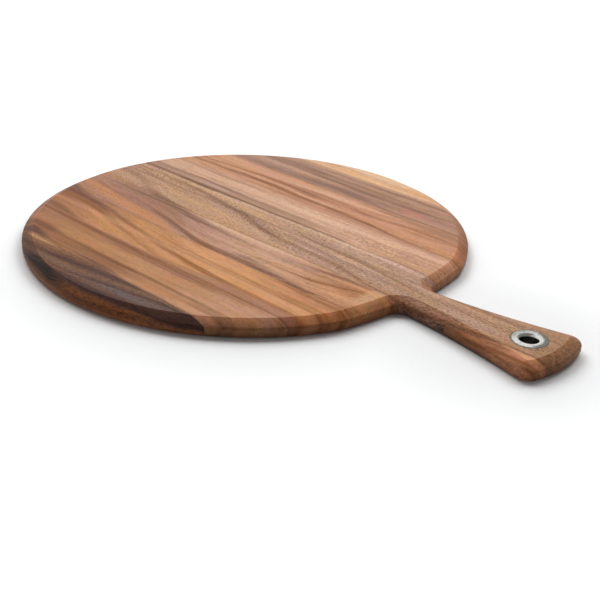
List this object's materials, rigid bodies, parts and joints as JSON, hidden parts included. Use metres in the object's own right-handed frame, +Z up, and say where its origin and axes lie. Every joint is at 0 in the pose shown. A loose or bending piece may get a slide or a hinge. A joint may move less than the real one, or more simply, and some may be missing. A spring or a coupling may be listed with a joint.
{
  "type": "pizza serving board",
  "caption": "Round wooden board with a flared handle for serving pizza: edge-glued hardwood staves, a bevelled rim, and a clinched steel eyelet in the handle to hang it by.",
  "frame": {"origin": "middle of the round on the underside", "axes": "+X along the handle, +Z up from the underside to the serving face, +Y to the left of the handle"},
  "size_m": [0.4755, 0.356, 0.0124],
  "materials": {
    "wood_pale_gold": "oiled, satin",
    "wood_grey_brown": "oiled, satin",
    "wood_orange": "oiled, satin",
    "wood_pink_tan": "oiled, satin",
    "wood_tan": "oiled, satin",
    "wood_gold": "oiled, satin",
    "wood_dark": "oiled, satin",
    "steel": "pressed and polished"
  },
  "bodies": {
    "root": {"left_edge_stave": "wood_pale_gold", "left_outer_stave": "wood_grey_brown", "left_middle_stave": "wood_orange", "left_inner_stave": "wood_pink_tan", "heart_stave": "wood_tan", "right_inner_stave": "wood_pink_tan", "right_middle_stave": "wood_gold", "right_outer_stave": "wood_gold", "right_edge_stave": "wood_dark", "right_handle_cheek": "wood_orange", "left_handle_cheek": "wood_pink_tan", "eyelet_front": "steel", "eyelet_back": "steel"}
  },
  "joints": []
}
